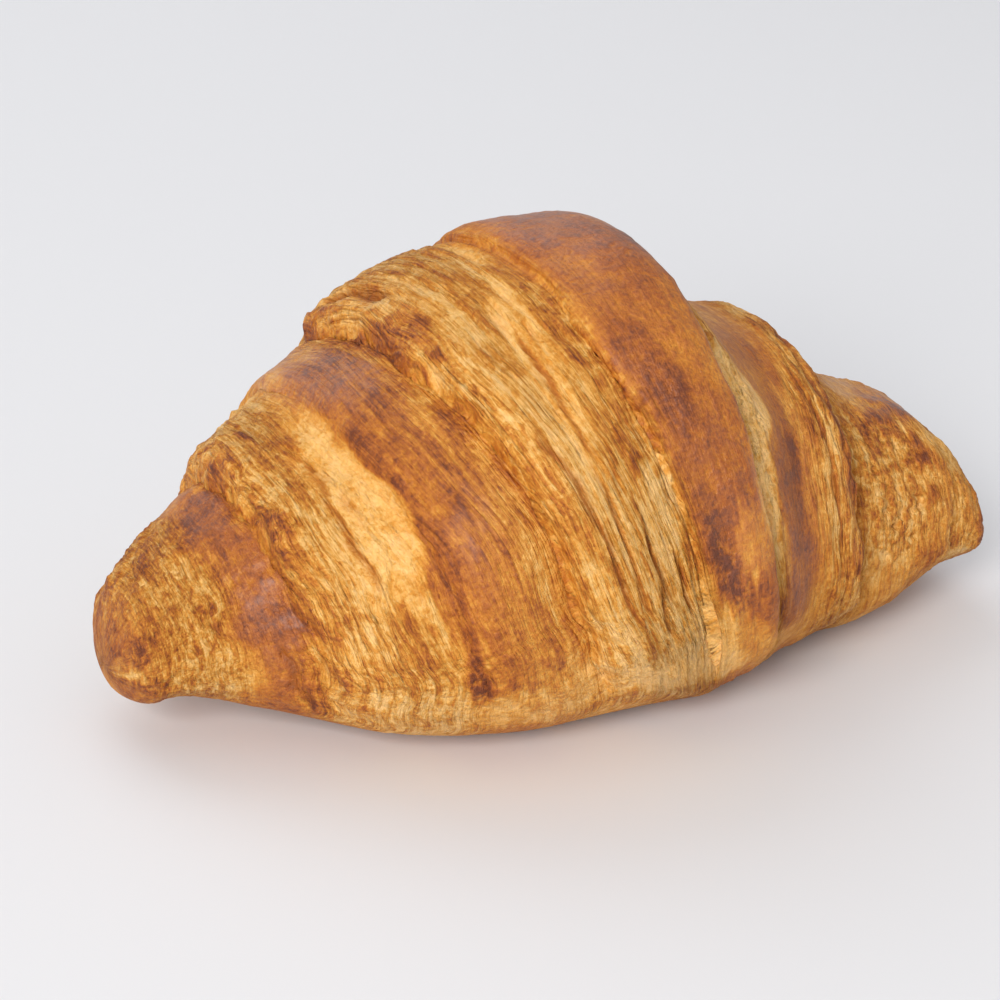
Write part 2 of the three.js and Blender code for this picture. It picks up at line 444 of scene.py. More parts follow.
@dataclass(frozen=True)
class CrustMap:
    """The bake, layering, stretching and glaze of the crust over (lay, turn)."""

    underside_bake: float = 0.66
    bake: Curve = Curve(
        ((-75, 0.8), (-72, 0.62), (-68, 0.48), (-65, 0.5), (-61, 0.7), (-58.5, 0.75),
         (-55.8, 0.58), (-53, 0.44), (-49, 0.42), (-46, 0.42), (-43, 0.5), (-41, 0.62), (-39, 0.7),
         (-37, 0.64), (-34, 0.55), (-31.5, 0.48), (-27, 0.42), (-20, 0.44), (-14, 0.5),
         (-11.5, 0.6), (-9, 0.72), (-3, 0.74), (4, 0.74), (7, 0.64), (9, 0.42), (12, 0.42),
         (16, 0.52), (20, 0.66), (25, 0.7), (28, 0.58), (33, 0.5), (39, 0.54), (43, 0.5),
         (50, 0.46), (57, 0.5), (65, 0.56), (70, 0.62), (75, 0.82))
    )
    layers: Curve = Curve(
        ((-75, 0.3), (-71, 0.8), (-64, 0.9), (-61, 0.35), (-58, 0.2), (-55, 1), (-47, 1),
         (-44, 0.6), (-41, 0.3), (-38, 0.45), (-34.5, 0.6), (-32, 0.9), (-22, 0.9), (-14, 0.6),
         (-9, 0.12), (6, 0.1), (9, 0.5), (14, 0.6), (17, 0.15), (27, 0.2), (33, 0.8), (40, 0.85),
         (44, 0.45), (58, 0.45), (68, 0.6), (75, 0.4))
    )
    patches: tuple[Patch, ...] = (
        # The left tip: a browner rim, one pale spot and a dark one low on its front.
        Patch(BAKE, 0.74, -72, 28, 0.9, 36, 0.8, 0.6),
        Patch(BAKE, 0.64, -66, -6, 4, 16, 0, 0.8),
        Patch(BAKE, 0.2, -72.6, 82, 1, 7, 0, 0.9, 0.6),
        Patch(BAKE, 0.7, -71.5, 108, 2.2, 9, 0, 0.7),
        Patch(BAKE, 0.34, -66, 106, 4.5, 18, 0, 0.7),
        # The smooth brown band at the foot of the first step.
        Patch(BAKE, 0.88, -59.4, 14, 3, 24, 0.6, 0.85),
        Patch(BAKE, 0.82, -58.4, 90, 2.3, 34, 2, 0.85),
        Patch(GLAZE, 0.7, -59.2, 40, 2.8, 80, 0.5),
        Patch(BAKE, 0.62, -55.6, 42, 1.8, 13, 0, 0.8),
        # The fan of layers beside it, and the pale stretch at its right.
        Patch(BAKE, 0.62, -53, 10, 2.4, 16, 0, 0.8),
        Patch(BAKE, 0.66, -48, 4, 3.6, 15, 0, 0.9),
        Patch(BAKE, 0.5, -48, 78, 3, 16, 0, 0.6),
        Patch(BAKE, 0.6, -54.2, 66, 0.8, 26, -0.6, 0.5),
        Patch(BAKE, 0.2, -46, 40, 3.2, 36, -1.2, 1, 0.2),
        Patch(STRETCH, 1, -46, 40, 3.6, 40, -1.2),
        Patch(BAKE, 0.28, -47.5, 113, 5, 11, 0, 0.7),
        Patch(BAKE, 0.7, -54.8, 112, 2.6, 11, 0, 0.8),
        # The left ridge: dark skin that narrows to a brown line down the front.
        Patch(BAKE, 0.86, -41.6, 32, 0.8, 30, -0.9, 0.9, 0.25),
        Patch(BAKE, 0.8, -43.2, 74, 0.7, 18, -1.4, 0.8, 0.25),
        Patch(BAKE, 0.86, -38.4, 4, 4.6, 19, -0.6, 0.85),
        Patch(GLAZE, 1, -39, -8, 5, 24),
        Patch(BAKE, 0.8, -36.8, 52, 2.4, 15, -1, 0.85),
        Patch(BAKE, 0.84, -42, 80, 1.1, 28, -1, 0.85),
        Patch(BAKE, 0.9, -43, 106, 1.2, 7, 0, 0.85),
        Patch(PORES, 0.5, -42.6, 104, 2, 12),
        # The smooth amber band and its lighter and darker patches.
        Patch(GLAZE, 0.4, -36, 70, 4, 55),
        Patch(BAKE, 0.54, -35.4, 30, 1.5, 11, 0, 0.8),
        Patch(BAKE, 0.8, -31.4, -6, 1.7, 20, 0, 0.8),
        Patch(BAKE, 0.8, -31.8, 36, 1.4, 9, 0, 0.8),
        Patch(BAKE, 0.56, -30.8, 54, 1.6, 8, 0, 0.8),
        Patch(BAKE, 0.76, -35.6, 72, 1.6, 12, 0, 0.8),
        Patch(BAKE, 0.66, -37, 98, 2.6, 12, 0, 0.7),
        Patch(BAKE, 0.7, -34.8, 88, 0.8, 14, 0, 0.7),
        Patch(BAKE, 0.44, -31.8, 76, 1.8, 16, 0, 0.8),
        Patch(BAKE, 0.32, -31.5, 106, 2.8, 14, 0, 0.85),
        # The middle wrap's stretched and layered left flank.
        Patch(BAKE, 0.24, -26, 14, 1.3, 13, 0.2, 0.9, 0.25),
        Patch(BAKE, 0.32, -28.4, -8, 1.8, 12, 0.2, 0.8),
        Patch(BAKE, 0.58, -23.4, -8, 2, 10, 0, 0.7),
        Patch(STRETCH, 0.5, -26, 8, 2.4, 24, 0.2),
        Patch(BAKE, 0.62, -29.4, 40, 0.7, 42, -0.2, 0.6),
        Patch(BAKE, 0.22, -21, 36, 2.8, 25, -2.6, 1, 0.2),
        Patch(STRETCH, 1, -21, 36, 3, 26, -2.6),
        Patch(BAKE, 0.5, -20.4, 34, 0.7, 14, -1.5, 0.7),
        Patch(BAKE, 0.74, -15.6, 34, 0.9, 16, 0.3, 0.85),
        Patch(BAKE, 0.62, -18.4, 62, 0.9, 10, -2.2, 0.85),
        Patch(PORES, 0.5, -13.5, 45, 3, 32),
        Patch(BAKE, 0.28, -15, -6, 1.8, 9, 0, 0.9),
        Patch(STRETCH, 0.9, -15, -6, 1.9, 10),
        Patch(BAKE, 0.14, -14.5, 72, 3, 13, -1.5, 0.85),
        Patch(BAKE, 0.12, -19, 103, 6, 13, -1.5, 0.85),
        Patch(BAKE, 0.5, -11.2, 96, 1.6, 14, 0, 0.8),
        # Partly painted light: the low front is painted paler to stand in for light bounced up from
        # the floor.
        Patch(BAKE, 0.1, -22, 116, 12, 9, 0, 0.9),
        Patch(LAYERS, 1, -19, 84, 8, 26, -1.5),
        Patch(BAKE, 0.6, -11.6, 86, 1.8, 8, 0, 0.8),
        Patch(BAKE, 0.3, -23, 76, 2.8, 11, 0, 0.7),
        # The smooth crest of the middle wrap, and the dark places low on it.
        Patch(GLAZE, 0.6, -1.5, 30, 8.5, 75),
        Patch(GLAZE, 1, 0, 72, 7, 14),
        Patch(GLAZE, 1, 0, -8, 8, 24),
        Patch(BAKE, 0.84, -1, -6, 7, 20, 0, 0.7),
        Patch(BAKE, 0.88, 1.6, 14, 4.4, 13, 0, 0.8),
        Patch(BAKE, 0.66, -6.6, 24, 2.2, 8, 0, 0.7),
        Patch(BAKE, 0.68, 4.4, 32, 1.8, 18, 0, 0.7),
        Patch(BAKE, 0.92, -5.8, 47, 3.8, 15, 0, 0.9),
        Patch(BAKE, 0.87, -3.6, 71, 6.4, 12, 0, 0.95),
        Patch(BAKE, 0.48, 2.4, 80, 3.4, 6.5, 0, 0.85),
        # Partly painted light: the low front is painted paler to stand in for light bounced up from
        # the floor.
        Patch(BAKE, 0.18, -9, 111, 8, 13, 0, 0.9),
        Patch(BAKE, 0.58, -1, 107, 4.6, 10, 0, 0.9),
        Patch(BAKE, 0.86, 3, 94, 4.6, 7, 0, 0.85),
        Patch(STRETCH, 0.7, -6, 109, 10, 12),
        Patch(BAKE, 0.82, 4.6, 100, 1.8, 14, 0, 0.85),
        Patch(BAKE, 0.95, -5.6, 87, 3.8, 5.5, 0, 0.9),
        Patch(BAKE, 0.94, 1.8, 92, 3, 2.6, 0, 0.9),
        Patch(PORES, 0.5, -5, 87, 5, 8),
        # The pale stripe under the middle wrap's right lip, and the wrap beside it.
        Patch(BAKE, 0.2, 6.4, 70, 1, 12, 0, 0.8),
        Patch(BAKE, 0.05, 13.2, 52, 4.3, 23, -1.4, 1, 0.3),
        Patch(STRETCH, 1, 13, 53, 4.5, 22, -1.4),
        Patch(BAKE, 0.1, 16.5, 46, 3, 10, 0, 0.8),
        Patch(PORES, 0.8, 13, 50, 4, 26),
        Patch(BAKE, 0.88, 22, 76, 5, 24, 0, 0.9),
        Patch(BAKE, 0.5, 22, -2, 4, 10, 0, 0.8),
        Patch(BAKE, 0.8, 25, 41, 2, 8, 0, 0.8),
        Patch(BAKE, 0.46, 24, 118, 7, 10, 0, 0.8),
        Patch(BAKE, 0.98, 25.4, 60, 1.6, 10, 0, 0.8),
        Patch(BAKE, 0.64, 22.5, 22, 3.4, 12, 0, 0.7),
        Patch(BAKE, 0.78, 28.4, 20, 2.2, 12, 0, 0.7),
        Patch(BAKE, 0.9, 16.4, 96, 3.4, 13, 0, 0.9),
        Patch(GLAZE, 0.5, 23, 30, 6.5, 60),
        Patch(GLAZE, 0.6, 21, 74, 5, 26),
        Patch(LAYERS, 0.15, 27, 8, 5, 26, 0, 0.8),
        Patch(BAKE, 0.36, 33.5, 52, 2.4, 12, 0, 0.8),
        Patch(BAKE, 0.52, 31, 104, 5, 14, 0, 0.8),
        # The right tip's wrap, with its open, porous places.
        Patch(PORES, 1, 50.5, 58, 10, 34, 0, 0.9),
        Patch(BAKE, 0.4, 45.6, 43, 1.8, 6, 0, 0.8),
        Patch(BAKE, 0.66, 48.6, 29, 2.2, 9, 0, 0.8),
        Patch(BAKE, 0.74, 32, 44, 2, 12, 0, 0.7),
        Patch(BAKE, 0.34, 54, 64, 2.4, 7, 0, 0.8),
        Patch(BAKE, 0.26, 47.5, 82, 2.6, 8, 0, 0.8),
        Patch(BAKE, 0.96, 52.4, 32, 3.2, 8, 0, 0.9),
        Patch(BAKE, 0.72, 51.5, 42, 3, 8, 0, 0.7),
        Patch(BAKE, 0.88, 57, 20, 5, 11, 0, 0.85),
        Patch(GLAZE, 1, 56, 12, 8, 18),
        Patch(BAKE, 0.98, 59.5, 42, 2, 7, 0, 0.9),
        Patch(BAKE, 0.74, 56.6, 105, 3, 12, 0, 0.8),
        Patch(BAKE, 0.46, 66.5, 74, 1.6, 18, 0, 0.7),
        Patch(BAKE, 0.3, 65.6, 34, 3.4, 13, 0, 0.85),
        Patch(BAKE, 0.14, 66, 117, 3.4, 9, 0, 0.9),
        Patch(BAKE, 0.94, 72.4, 88, 1.8, 26, 0, 0.9),
        # The unbrowned strip low on the front. Its paleness is partly real and partly painted light,
        # which stands in for light bounced up from the floor.
        Patch(BAKE, 0.1, -18, 119, 15, 9, 0, 0.8),
        Patch(BAKE, 0.5, 5, 116, 5, 10, 0, 0.8),
        Patch(BAKE, 0.34, -37, 119, 8, 8, 0, 0.8),
        Patch(STRETCH, 0.6, -12, 119, 28, 9),
        # The back: pale stretches between the wraps, and a darker crown.
        Patch(BAKE, 0.14, -47, -58, 3, 36, 1, 0.9),
        Patch(STRETCH, 0.9, -47, -58, 3.2, 36, 1),
        Patch(BAKE, 0.1, -24.5, -66, 2.8, 32, 1.5, 0.9),
        Patch(STRETCH, 1, -24.5, -66, 3, 32, 1.5),
        Patch(BAKE, 0.66, -17, -60, 1.4, 36, 0.8, 0.7),
        Patch(BAKE, 0.12, 11.6, -64, 2.6, 38, 1, 0.9),
        Patch(STRETCH, 1, 11.6, -64, 2.8, 38, 1),
        Patch(BAKE, 0.2, 46.5, -60, 2.4, 26, 1, 0.8),
        Patch(PORES, 0.9, 50, -62, 8, 30),
        Patch(GLAZE, 0.9, 0, -45, 8, 50),
        Patch(GLAZE, 0.8, 20, -60, 4.5, 55),
        Patch(GLAZE, 0.8, -38, -60, 4, 45),
        Patch(BAKE, 0.78, -1, -56, 6, 30, 0, 0.6),
        Patch(BAKE, 0.82, 21, -50, 4, 26, 0, 0.6),
        Patch(BAKE, 0.22, -8, -116, 44, 12, 0, 0.7),
    )
    cracks: tuple[Crack, ...] = (
        Crack(-28.2, -34, -4, 0.4, 1.8, 0.8),
        Crack(-27.5, 45, 98, 0.6, 0.9, 0.45),
        Crack(-24.6, 62, 96, -1, 0.7, 0.4),
        Crack(-20.3, 74, 92, -0.6, 1.1, 0.5),
        Crack(-22.2, 86, 104, -0.8, 1, 0.5),
        Crack(-16.4, 80, 98, -0.6, 0.9, 0.45),
        Crack(-22, 22, 62, -2.4, 0.5, 0.5),
        Crack(-48.5, 10, 74, -1.6, 0.5, 0.4),
        Crack(-58, 84, 132, 1.6, 0.8, 0.45),
        Crack(33.5, 20, 96, 0.5, 0.5, 0.4),
        Crack(37, -10, 80, 0.4, 0.6, 0.45),
        Crack(-30, -110, -40, 1.4, 0.7, 0.45),
        Crack(-21, -100, -60, 1, 0.8, 0.45),
        Crack(-51, -100, -30, 0.8, 0.6, 0.4),
        Crack(34.5, -100, -30, 0.5, 0.6, 0.45),
        Crack(48, -90, -50, 0.8, 0.7, 0.5),
    )

    def paint(self, lay: np.ndarray, turn: np.ndarray) -> dict[Tone, np.ndarray]:
        """Each tone over the crust.

        Bake and layers start from their curves along the body. Every patch then
        pulls its tone towards the patch's value, on coordinates that noise bends
        so that no patch has a clean rim.

        Args:
            lay: millimetres along the crest.
            turn: radians round the body.

        Returns:
            One array from 0 to 1 for each tone.
        """
        wander = layered(lay, turn, (1.6, 11, 0.06, 12), (0.7, 12, 0.22, 24), (0.35, 13, 0.8, 40))
        shift = layered(lay, turn, (5.0, 14, 0.12, 10), (4.0, 15, 0.9, 36))
        bent_lay, degrees = lay + wander, np.degrees(turn) + shift
        tones = {tone: np.zeros_like(lay) for tone in Tone}
        tones[BAKE] = self.bake.at(bent_lay)
        tones[LAYERS] = clamp01(self.layers.at(bent_lay))
        for patch in self.patches:
            share = patch.mask(bent_lay, degrees)
            tones[patch.tone] = blend(tones[patch.tone], patch.value, share)
        under = smooth_step(132.0, 158.0, np.abs(np.degrees(turn)))
        tones[BAKE] = blend(tones[BAKE], self.underside_bake, under)
        tones[LAYERS] = tones[LAYERS] * (1.0 - 0.7 * under)
        return tones

    def splits(self, lay: np.ndarray, turn: np.ndarray) -> tuple[np.ndarray, np.ndarray]:
        """How deep the cracks are, and where they are.

        Args:
            lay: millimetres along the crest.
            turn: radians round the body.

        Returns:
            The depth in millimetres, and a mask from 0 to 1.
        """
        wander = layered(lay, turn, (0.7, 21, 0.1, 30), (0.35, 22, 0.3, 70))
        degrees = np.degrees(turn)
        masks = [(crack, crack.mask(lay + wander, degrees)) for crack in self.cracks]
        depth = sum(crack.depth * mask for crack, mask in masks)
        return depth, clamp01(sum(mask for _, mask in masks))


# ---------------------------------------------------------------------------
# The crust as one mesh
# ---------------------------------------------------------------------------


@dataclass
class Crust:
    """The whole baked skin, as one closed surface over a grid of lay and turn.

    Once built, spine_foot is the point, in metres, where the form's own origin lies.
    """

    name: str = "croissant_crust"
    node: str = "croissant"
    slot: str = "crust"
    rows: int = 662
    columns: int = 150
    cm_per_radian: float = 4.0
    form: BodyForm = field(default_factory=BodyForm)
    chart: CrustMap = field(default_factory=CrustMap)
    spine_foot: np.ndarray = field(default_factory=lambda: np.zeros(3))

    def lay_lines(self) -> np.ndarray:
        """Places along the crest, closer together at the lips and at the tips."""
        fine = np.linspace(-self.form.half_length, self.form.half_length, 6001)
        density = np.ones_like(fine)
        for edge in self.form.edges:
            density += 1.6 * np.exp(-(((edge.inside(fine) - 0.3) / 2.0) ** 2))
        density += 5.0 * np.exp(-self.form.from_tip(fine) / 0.8)
        return spread(fine, density, self.rows + 2)[1:-1]

    def turn_lines(self) -> np.ndarray:
        """Angles round the body, fewer of them on the flat underside."""
        fine = np.linspace(-math.pi, math.pi, 4001)
        density = 0.35 + 0.65 * smooth_step(-0.85, -0.55, np.cos(fine))
        return spread(fine, density, self.columns + 1)[:-1]

    @staticmethod
    def leaves(lay: np.ndarray, turn: np.ndarray) -> np.ndarray:
        """The leaves of dough at the cut edges, as a sawtooth that wanders and fades.

        Each leaf rises towards the middle of the croissant and drops in its last part.

        Args:
            lay: millimetres along the crest.
            turn: radians round the body.

        Returns:
            The leaves' height about zero, in millimetres of the strongest relief.
        """
        drift = layered(lay, turn, (1.7, 33, 0.1, 7), (0.6, 34, 0.35, 15))
        leaf = (lay * 0.8 + drift) % 1.0
        side = np.where(lay < 2.0, leaf, 1.0 - leaf)
        saw = side**0.7 * (1.0 - smooth_step(0.86, 1.0, side)) - 0.42
        return 0.42 * saw * clamp01(0.5 + 0.9 * DoughNoise(35, 0.3, 13).at(lay, turn))

    def relief(self, lay: np.ndarray, turn: np.ndarray, tones: dict[Tone, np.ndarray],
               crevice: np.ndarray, depth: np.ndarray) -> dict[str, np.ndarray]:
        """How far the baked surface stands off the body, in millimetres.

        Slow lumps and blisters make the skin uneven. Layered dough has leaves,
        with finer ridges and shards along them. Stretched dough is wrinkled and
        lies a little lower, open places are pitted, and the cracks cut in.

        Args:
            lay: millimetres along the crest.
            turn: radians round the body.
            tones: the crust's tones at the same points.
            crevice: 1 in the gaps under the wraps' lips, where the relief stays low.
            depth: how deep the cracks are, in millimetres.

        Returns:
            The slow and the fine part of the offset along the body's normal, and
            how much browner each shard is baked.
        """
        lumps = layered(lay, turn, (0.7, 31, 0.045, 6), (0.55, 32, 0.12, 14))
        ridges = layered(lay, turn, (0.26, 36, 0.8, 22), (0.22, 37, 1.7, 60))
        wrinkles = layered(lay, turn, (0.36, 40, 0.5, 36), (0.26, 41, 1.2, 90))
        pits = clamp01(layered(lay, turn, (1.0, 42, 0.42, 64), (0.5, 43, 0.9, 120)) - 0.1)
        blisters = clamp01(DoughNoise(38, 0.16, 34).at(lay, turn) - 0.22) ** 1.3
        pimples = clamp01(DoughNoise(39, 0.6, 120).at(lay, turn) - 0.3)
        swayed = lay + layered(lay, turn, (1.1, 44, 0.12, 18), (0.3, 45, 0.5, 50))
        shard, shard_side, shard_rim = DoughFlakes(46, 0.5, 17).at(swayed, turn)
        chip, chip_side, chip_rim = DoughFlakes(47, 1.15, 46).at(swayed, turn)
        shards = 0.75 * (shard - 0.5) + 0.35 * shard_side - 0.28 * shard_rim
        chips = 0.36 * (chip - 0.5) + 0.16 * chip_side - 0.12 * chip_rim
        layers, stretch, glaze = tones[LAYERS], tones[STRETCH], tones[GLAZE]
        low = smooth_step(95.0, 125.0, np.abs(np.degrees(turn)))
        calm = (1.0 - 0.75 * glaze) * (1.0 - 0.5 * crevice) * (1.0 - 0.6 * low)
        fine = (
            calm * layers * (self.leaves(lay, turn) + ridges + 0.4 * shards)
            + calm * (0.25 + 0.75 * layers) * chips
            + 0.30 * pimples * (1.0 - layers)
            + stretch * calm * (wrinkles + 0.5 * chips)
            - 1.5 * tones[PORES] * pits
            - depth
        )
        slow = lumps + 0.9 * blisters * (0.4 + 0.6 * glaze) - 0.35 * stretch
        shade = layers * (0.16 * (shard - 0.5) + 0.10 * (chip - 0.5))
        return {"slow": slow, "fine": fine, "shade": shade}

    def surface(self, lay: np.ndarray, turn: np.ndarray) -> tuple[np.ndarray, dict[str, np.ndarray]]:
        """The finished skin and what the finish needs to know about it.

        The body is moved along its own normal by the relief, then laid flat
        where it would pass below the surface it rests on.

        Args:
            lay: millimetres along the crest, on a grid.
            turn: radians round the body, on the same grid.

        Returns:
            The points in millimetres, and one named array of values per attribute.
        """
        form, from_tip = self.form, self.form.from_tip(lay)
        wander = layered(lay, turn, (1.5, 51, 0.03, 5), (0.6, 52, 0.09, 16))
        ragged = layered(lay, turn, (0.7, 53, 0.05, 22), (0.45, 54, 0.05, 64))
        calm_tips = smooth_step(0.0, 14.0, from_tip)
        woven = lay + wander * calm_tips
        body = blend(form.place(lay, turn), form.place(woven, turn, ragged), calm_tips[..., None])
        along = np.gradient(body, axis=0)
        around = np.roll(body, -1, axis=1) - np.roll(body, 1, axis=1)
        normal = np.cross(around, along)
        normal /= np.linalg.norm(normal, axis=-1, keepdims=True) + 1e-9
        tones = self.chart.paint(woven, turn)
        depth, split = self.chart.splits(woven, turn)
        gaps = (edge.crevice(woven + ragged) * min(1.0, 1.4 * edge.overhang) for edge in form.edges)
        crevice = sum(gaps) * form.steps_show(turn)
        relief = self.relief(woven, turn, tones, clamp01(crevice), depth)
        near_base = smooth_step(-0.95, -0.7, np.cos(turn))
        near_tip = smooth_step(0.0, 5.0, from_tip)
        offset = (relief["slow"] + relief["fine"]) * near_base * near_tip
        points = body + normal * offset[..., None]
        points[..., 2] = np.maximum(points[..., 2], 0.0)
        leaf_tips = np.clip(relief["fine"], -0.9, 0.6) * (1.0 - tones[STRETCH])
        # Painted shade: the cracks and the gaps under the lips are made browner here. The raised leaf
        # tips and the shards' own tones are real browning.
        tones[BAKE] = tones[BAKE] + 0.16 * leaf_tips + relief["shade"] + 0.3 * split + 0.12 * crevice
        tones[LAYERS] = tones[LAYERS] * (1.0 - 0.3 * crevice)
        values = {tone.value: clamp01(tones[tone]) for tone in Tone}
        # Painted shade: darker in the cracks, in the gaps under the lips and where the fine relief
        # sinks deepest.
        values["painted_shade"] = clamp01(0.6 * split + 0.1 * crevice + 0.8 * (-0.28 - relief["fine"]))
        return points, values

    def to_frame(self, points: np.ndarray) -> np.ndarray:
        """Moves and fits points from the body's own millimetres into the CAD node's box.

        Args:
            points: the finished skin, in millimetres.

        Returns:
            The same points in metres, filling the box of the node it stands for.
        """
        low, high = (np.array(corner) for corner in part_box(self.node))
        own_low = points.reshape(-1, 3).min(axis=0)
        own_high = points.reshape(-1, 3).max(axis=0)
        fit = (high - low) / (own_high - own_low)
        self.spine_foot = low - own_low * fit
        LOG.info("crust fits its box at %s of its own size", np.round(fit * 1000, 3))
        return low + (points - own_low) * fit

    def build(self) -> bpy.types.Object:
        """Makes the mesh, with its seam and both tips closed.

        Returns:
            The crust's object, with its attributes and its two UV maps.
        """
        lay, turn = np.meshgrid(self.lay_lines(), self.turn_lines(), indexing="ij")
        points, values = self.surface(lay, turn)
        tips = np.stack([points[0].mean(axis=0), points[-1].mean(axis=0)])
        vertices = self.to_frame(np.concatenate([points.reshape(-1, 3), tips]))
        faces, corner_lay, corner_turn = self.faces(lay, turn)
        mesh = bpy.data.meshes.new(self.name)
        mesh.from_pydata(vertices.tolist(), [], faces)
        mesh.update()
        mesh.shade_smooth()
        for name, value in values.items():
            flat = np.append(value.reshape(-1), [value[0].mean(), value[-1].mean()])
            layer = mesh.attributes.new(name, "FLOAT", "POINT")
            layer.data.foreach_set("value", flat.astype(np.float32))
        half = self.form.half_length
        self.add_uv(mesh, "OFBake", (corner_lay + half) / (2 * half), corner_turn / FULL_TURN + 0.5)
        self.add_uv(mesh, "Dough", corner_lay / MM_PER_CM, corner_turn * self.cm_per_radian)
        return put_in_scene(self.name, mesh)

    def faces(self, lay: np.ndarray, turn: np.ndarray) -> tuple[list, np.ndarray, np.ndarray]:
        """The faces, with the lay and turn of each of their corners.

        Quads join each ring to the next and close round the body. Triangles join
        the first and last ring to their tip.

        Args:
            lay: the grid's lay.
            turn: the grid's turn.

        Returns:
            Vertex numbers per face, and lay and turn per face corner.
        """
        rows, columns = lay.shape
        first_tip, last_tip = rows * columns, rows * columns + 1
        ring = np.arange(first_tip).reshape(rows, columns)
        after = np.roll(ring, -1, axis=1)
        quads = np.stack([ring[:-1], after[:-1], after[1:], ring[1:]], axis=-1).reshape(-1, 4)
        next_turn = np.roll(turn, -1, axis=1)
        next_turn[:, -1] += FULL_TURN
        turns = np.stack([turn[:-1], next_turn[:-1], next_turn[1:], turn[1:]], axis=-1)
        lays = np.stack([lay[:-1], lay[:-1], lay[1:], lay[1:]], axis=-1)
        tip_lay = np.full(columns, self.form.half_length)
        middle = (turn[0] + next_turn[0]) / 2
        start = np.stack([after[0], ring[0], np.full(columns, first_tip)], axis=-1)
        end = np.stack([ring[-1], after[-1], np.full(columns, last_tip)], axis=-1)
        start_turns = np.stack([next_turn[0], turn[0], middle], axis=-1)
        end_turns = np.stack([turn[-1], next_turn[-1], middle], axis=-1)
        start_lays = np.stack([lay[0], lay[0], -tip_lay], axis=-1)
        end_lays = np.stack([lay[-1], lay[-1], tip_lay], axis=-1)
        all_lays = np.concatenate([lays.ravel(), start_lays.ravel(), end_lays.ravel()])
        all_turns = np.concatenate([turns.ravel(), start_turns.ravel(), end_turns.ravel()])
        return quads.tolist() + start.tolist() + end.tolist(), all_lays, all_turns

    @staticmethod
    def add_uv(mesh: bpy.types.Mesh, name: str, u: np.ndarray, v: np.ndarray) -> None:
        """Adds a UV map with one (u, v) per face corner."""
        layer = mesh.uv_layers.new(name=name)
        layer.data.foreach_set("uv", np.stack([u, v], axis=-1).astype(np.float32).reshape(-1))


# ---------------------------------------------------------------------------
# Finishes
# ---------------------------------------------------------------------------


class Graph:
    """A node tree with short ways to add nodes and join them."""

    def __init__(self, tree: Tree) -> None:
        """Starts from an empty tree."""
        self.tree = tree
        tree.nodes.clear()

    def add(self, kind: str, **settings: object) -> bpy.types.Node:
        """Adds a node and sets its properties."""
        node = self.tree.nodes.new(kind)
        for key, value in settings.items():
            setattr(node, key, value)
        return node

    def join(self, source: Socket, target: Socket) -> None:
        """Joins an output to an input."""
        self.tree.links.new(source, target)

    def put(self, value: object, target: Socket) -> None:
        """Gives an input a number, or joins another node's output to it."""
        if isinstance(value, Socket):
            self.join(value, target)
        else:
            target.default_value = value

    def math(self, operation: str, first: object, second: object = 0.0) -> Socket:
        """The result of a two-number sum, product or other operation."""
        node = self.add("ShaderNodeMath", operation=operation)
        self.put(first, node.inputs[0])
        self.put(second, node.inputs[1])
        return node.outputs[0]

    def plus(self, first: object, second: object) -> Socket:
        """Two values' sum."""
        return self.math("ADD", first, second)

    def minus(self, first: object, second: object) -> Socket:
        """The first value less the second."""
        return self.math("SUBTRACT", first, second)

    def times(self, first: object, second: object) -> Socket:
        """Two values' product."""
        return self.math("MULTIPLY", first, second)

    def mix(self, share: object, first: object, second: object) -> Socket:
        """A colour between first and second."""
        node = self.add("ShaderNodeMix", data_type="RGBA")
        for name, value in (("Factor", share), ("A", first), ("B", second)):
            self.put(value, node.inputs[name])
        return node.outputs["Result"]

    def span(self, value: object, low: float, high: float, out_low: float, out_high: float) -> Socket:
        """The value moved from one range to another, and held in it."""
        node = self.add("ShaderNodeMapRange")
        self.put(value, node.inputs["Value"])
        ends = {"From Min": low, "From Max": high, "To Min": out_low, "To Max": out_high}
        for name, number in ends.items():
            node.inputs[name].default_value = number
        return node.outputs["Result"]

    def parts(self, vector: Socket) -> list[Socket]:
        """The X, Y and Z of a vector or a colour."""
        node = self.add("ShaderNodeSeparateXYZ")
        self.join(vector, node.inputs[0])
        return list(node.outputs)

    def flat_place(self, x: Socket, y: Socket) -> Socket:
        """A place from its X and Y."""
        node = self.add("ShaderNodeCombineXYZ")
        self.join(x, node.inputs[0])
        self.join(y, node.inputs[1])
        return node.outputs[0]

    def texture(self, kind: str, place: Socket, numbers: dict[str, object],
                **settings: object) -> bpy.types.Node:
        """Adds a texture that reads a place and has its numbers set."""
        node = self.add(kind, **settings)
        self.join(place, node.inputs["Vector"])
        for name, number in numbers.items():
            self.put(number, node.inputs[name])
        return node

    def attribute(self, name: str) -> Socket:
        """A vertex attribute's value."""
        return self.add("ShaderNodeAttribute", attribute_name=name).outputs["Fac"]


def new_material(name: str) -> tuple[bpy.types.Material, Graph, bpy.types.Node]:
    """A new material, its graph and the one shader that its surface shows."""
    material = bpy.data.materials.new(name)
    material.use_nodes = True
    graph = Graph(material.node_tree)
    shader = graph.add("ShaderNodeBsdfPrincipled")
    graph.join(shader.outputs[0], graph.add("ShaderNodeOutputMaterial").inputs["Surface"])
    return material, graph, shader


def open_group(name: str, taken: tuple[str, ...], given: tuple[str, ...]) -> tuple:
    """Starts a node group that takes a place and some numbers, and gives numbers.

    Args:
        name: the group's name.
        taken: the names of the numbers that it takes.
        given: the names of the values that it gives.

    Returns:
        The group's graph, the sockets with what it takes, and those for what it gives.
    """
    tree = bpy.data.node_groups.new(name, "ShaderNodeTree")
    tree.interface.new_socket("Place", in_out="INPUT", socket_type="NodeSocketVector")
    for way, names in (("INPUT", taken), ("OUTPUT", given)):
        for socket in names:
            tree.interface.new_socket(socket, in_out=way, socket_type="NodeSocketFloat")
    graph = Graph(tree)
    return graph, graph.add("NodeGroupInput").outputs, graph.add("NodeGroupOutput").inputs


